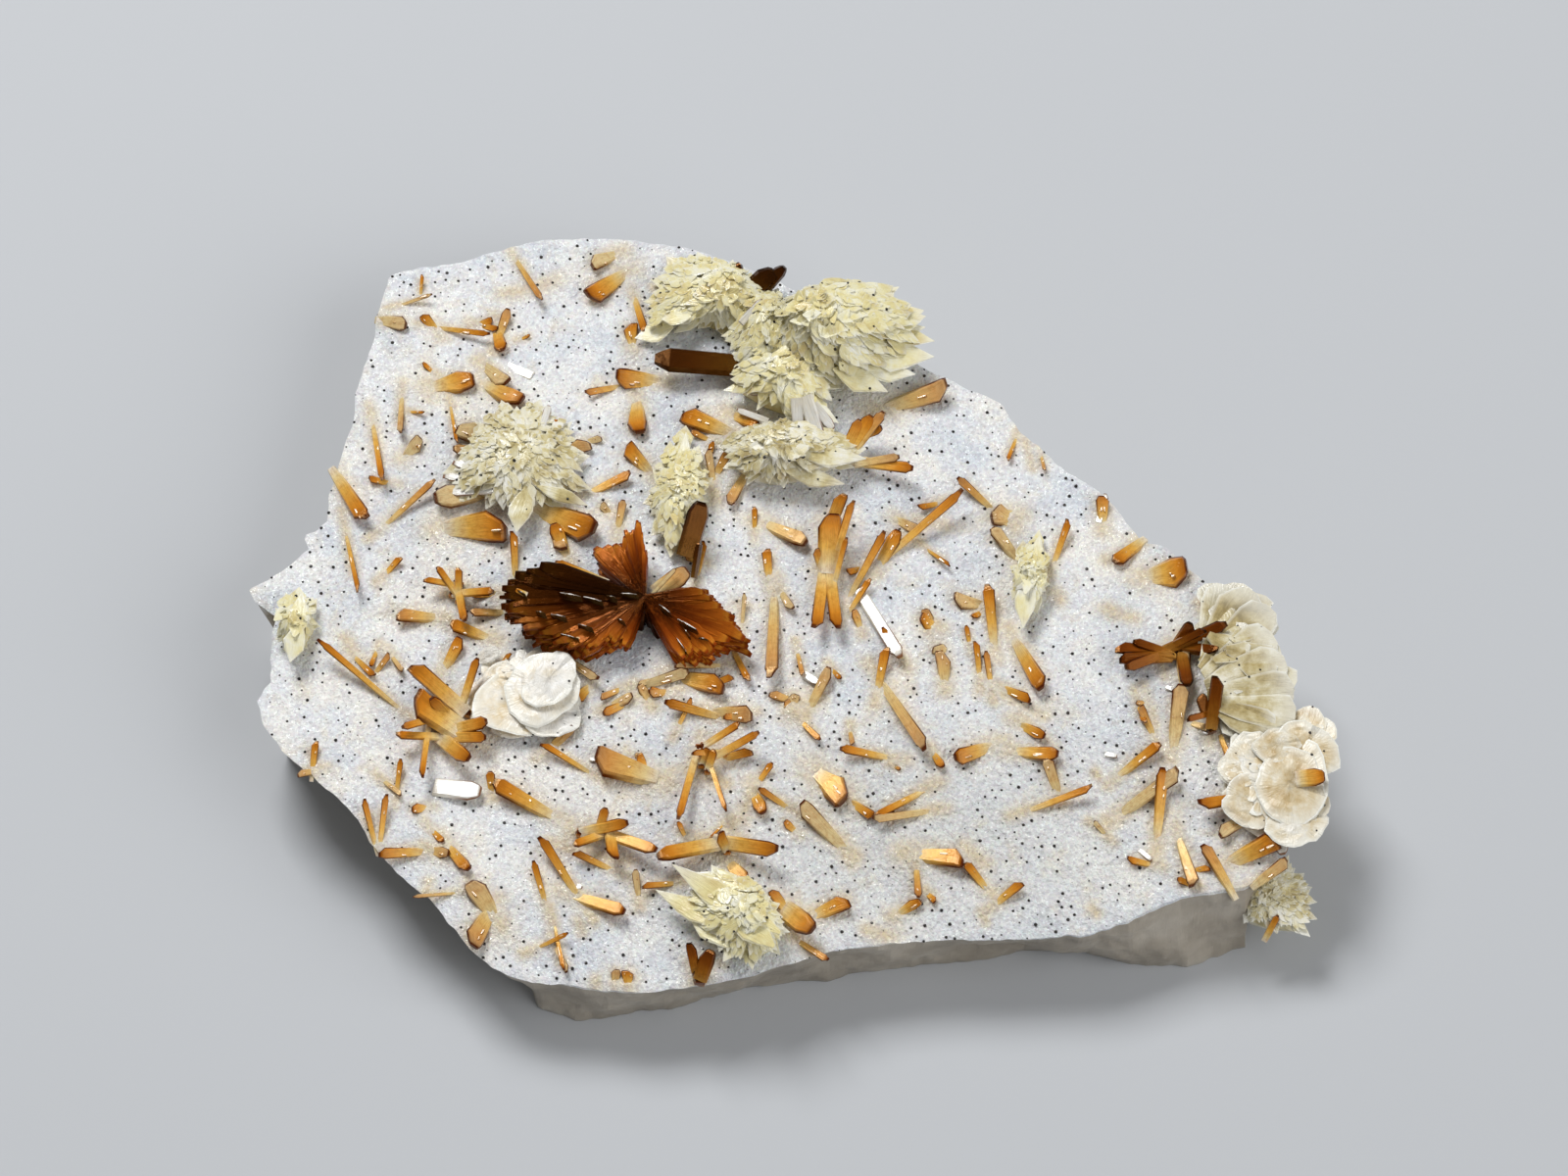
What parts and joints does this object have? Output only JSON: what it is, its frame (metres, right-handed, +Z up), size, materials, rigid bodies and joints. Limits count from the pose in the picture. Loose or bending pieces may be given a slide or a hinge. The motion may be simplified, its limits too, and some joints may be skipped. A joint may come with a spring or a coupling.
{
  "type": "collinsite with eosphorite specimen",
  "caption": "Thin plate of white drusy chalcedony with cream bladed collinsite rosettes and brown eosphorite crystals grown on it, resting on its flat back.",
  "frame": {"origin": "centre of the bounding box at the level of the flat back it rests on", "axes": "+X along the plate's longest side, to the right in the picture; +Y away from the viewer, towards the edge that is at the top in the picture; +Z up, out of the drusy face"},
  "size_m": [0.0394, 0.0312, 0.0077],
  "materials": {
    "druse": "rough",
    "collinsite_cream": "satin",
    "collinsite_white": "satin",
    "eosphorite_amber": "gloss",
    "eosphorite_brown": "gloss"
  },
  "bodies": {
    "root": {"matrix_plate": "druse", "collinsite_crown": "collinsite_cream", "collinsite_lens": "collinsite_cream", "collinsite_column": "collinsite_cream", "collinsite_left_star": "collinsite_cream", "collinsite_white_disc": "collinsite_white", "collinsite_left_edge": "collinsite_cream", "collinsite_lone_lens": "collinsite_cream", "collinsite_lower_fan": "collinsite_cream", "collinsite_right_fan": "collinsite_cream", "collinsite_right_disc": "collinsite_white", "collinsite_corner": "collinsite_cream", "eosphorite_bow_tie": "eosphorite_brown", "eosphorite_twin": "eosphorite_amber", "eosphorite_left_spray": "eosphorite_amber", "eosphorite_left_cluster": "eosphorite_amber", "eosphorite_right_bundle": "eosphorite_brown", "eosphorite_right_prism": "eosphorite_brown", "eosphorite_trio": "eosphorite_amber", "eosphorite_lower_star": "eosphorite_amber", "eosphorite_lower_pair": "eosphorite_amber", "eosphorite_foot_prisms": "eosphorite_brown", "eosphorite_lower_tablet": "eosphorite_amber"}
  },
  "joints": []
}
